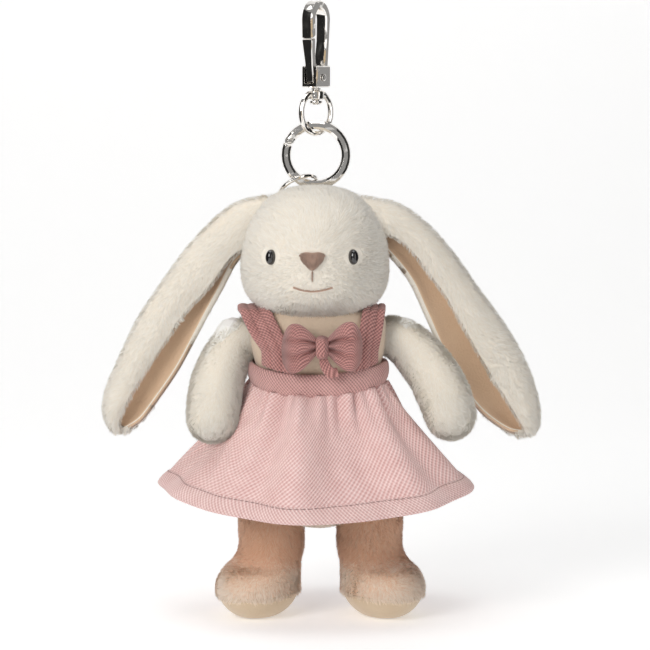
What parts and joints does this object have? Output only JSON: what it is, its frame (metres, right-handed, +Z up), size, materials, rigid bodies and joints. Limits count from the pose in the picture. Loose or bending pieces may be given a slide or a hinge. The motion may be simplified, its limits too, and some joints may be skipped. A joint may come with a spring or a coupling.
{
  "type": "plush keychain",
  "caption": "Plush rabbit with long folded ears and a pinafore dress, hung by a jump ring and a spring ring from a swivel snap hook.",
  "frame": {"origin": "inside top of the snap hook's arch, where the bag loop that carries the keychain bears", "axes": "+Z up along the hanging line, +X to the viewer's right of the rabbit's face, the rabbit looks towards -Y"},
  "size_m": [0.1535, 0.0798, 0.2205],
  "materials": {
    "chrome": "polished chrome plate",
    "spring_steel": "drawn spring wire",
    "cream_plush": "short cream pile",
    "stuffing": "polyester fibre",
    "ear_lining": "smooth peach velour",
    "suede": "beige suede cloth",
    "black_eye": "glossy black",
    "washer_plastic": "natural plastic",
    "brown_thread": "satin stitch thread",
    "pink_twill": "salmon pink twill",
    "rose_twill": "dusty rose twill",
    "tape": "woven tape"
  },
  "bodies": {
    "hook": {"hook_body": "chrome", "hook_gate_pin": "chrome", "hook_gate_spring": "spring_steel", "swivel_rivet": "chrome"},
    "hook_gate": {"hook_gate": "chrome"},
    "swivel": {"swivel_eye": "chrome"},
    "ring": {"spring_ring_body": "chrome", "spring_ring_pin": "chrome", "spring_ring_spring": "spring_steel"},
    "ring_gate": {"spring_ring_gate": "chrome"},
    "jump_ring": {"jump_ring": "chrome"},
    "head": {"head_cover": "cream_plush", "head_filling": "stuffing", "eye_left": "black_eye", "eye_right": "black_eye", "eye_washer_left": "washer_plastic", "eye_washer_right": "washer_plastic", "nose_embroidery": "brown_thread", "mouth_stitching": "brown_thread", "hanging_loop": "tape"},
    "ear_left": {"ear_left_plush": "cream_plush", "ear_left_lining": "ear_lining"},
    "ear_right": {"ear_right_plush": "cream_plush", "ear_right_lining": "ear_lining"},
    "torso": {"torso_cover": "cream_plush", "torso_filling": "stuffing", "strap_left": "rose_twill", "strap_right": "rose_twill", "waistband": "rose_twill", "skirt": "pink_twill", "skirt_hem": "pink_twill", "bow_loop_left": "rose_twill", "bow_loop_right": "rose_twill", "bow_knot": "rose_twill", "bow_tail": "rose_twill"},
    "arm_left": {"arm_left_cover": "cream_plush", "arm_left_filling": "stuffing"},
    "arm_right": {"arm_right_cover": "cream_plush", "arm_right_filling": "stuffing"},
    "leg_left": {"leg_left_cover": "cream_plush", "leg_left_filling": "stuffing", "sole_left": "suede"},
    "leg_right": {"leg_right_cover": "cream_plush", "leg_right_filling": "stuffing", "sole_right": "suede"}
  },
  "joints": [
    {"name": "hook_gate_press", "type": "hinge", "parent": "hook", "child": "hook_gate", "pos_m": [-0.0002, -0.00035, -0.0243], "axis": [-0.866, 0.5, 0], "range_deg": [0, 27], "stiffness_Nm_per_rad": 0.03, "springref_deg": -20.05, "deforming": ["hook_gate_spring"]},
    {"name": "swivel_turn", "type": "hinge", "parent": "hook", "child": "swivel", "pos_m": [0, 0, -0.0306], "axis": [0, 0, 1], "continuous": true},
    {"name": "ring_swing", "type": "hinge", "parent": "swivel", "child": "ring", "pos_m": [0, 0, -0.0444], "axis": [0.7431, 0.6691, 0], "range_deg": [-20, 20]},
    {"name": "ring_gate_press", "type": "hinge", "parent": "ring", "child": "ring_gate", "pos_m": [-0.00945, 0, -0.04682], "axis": [0, -1, 0], "range_deg": [0, 16], "stiffness_Nm_per_rad": 0.02, "springref_deg": -20.05, "deforming": ["spring_ring_spring"]},
    {"name": "jump_ring_swing", "type": "hinge", "parent": "ring", "child": "jump_ring", "pos_m": [0, 0, -0.0627], "axis": [1, 0, 0], "range_deg": [-8, 8]},
    {"name": "rabbit_swing", "type": "hinge", "parent": "jump_ring", "child": "head", "pos_m": [-0.01001, 0.00661, -0.06795], "axis": [0.7771, 0.6293, 0], "range_deg": [-1, 25]},
    {"name": "neck_turn", "type": "hinge", "parent": "head", "child": "torso", "pos_m": [0.0008, -0.006, -0.11], "axis": [0, 0, 1], "range_deg": [-8, 8], "stiffness_Nm_per_rad": 0.03},
    {"name": "ear_left_flop", "type": "hinge", "parent": "head", "child": "ear_left", "pos_m": [-0.0247, -0.0035, -0.0725], "axis": [0, 1, 0], "range_deg": [-1, 60], "stiffness_Nm_per_rad": 0.03},
    {"name": "ear_right_flop", "type": "hinge", "parent": "head", "child": "ear_right", "pos_m": [0.0273, -0.0035, -0.0715], "axis": [0, -1, 0], "range_deg": [-1, 60], "stiffness_Nm_per_rad": 0.03},
    {"name": "arm_left_swing", "type": "hinge", "parent": "torso", "child": "arm_left", "pos_m": [-0.0302, -0.003, -0.116], "axis": [-1, 0, 0], "range_deg": [0, 60], "stiffness_Nm_per_rad": 0.03},
    {"name": "arm_right_swing", "type": "hinge", "parent": "torso", "child": "arm_right", "pos_m": [0.0318, -0.003, -0.116], "axis": [-1, 0, 0], "range_deg": [0, 60], "stiffness_Nm_per_rad": 0.03},
    {"name": "leg_left_swing", "type": "hinge", "parent": "torso", "child": "leg_left", "pos_m": [-0.0162, -0.004, -0.172], "axis": [-1, 0, 0], "range_deg": [-12, 30], "stiffness_Nm_per_rad": 0.03},
    {"name": "leg_right_swing", "type": "hinge", "parent": "torso", "child": "leg_right", "pos_m": [0.0194, -0.004, -0.172], "axis": [-1, 0, 0], "range_deg": [-12, 30], "stiffness_Nm_per_rad": 0.03}
  ]
}
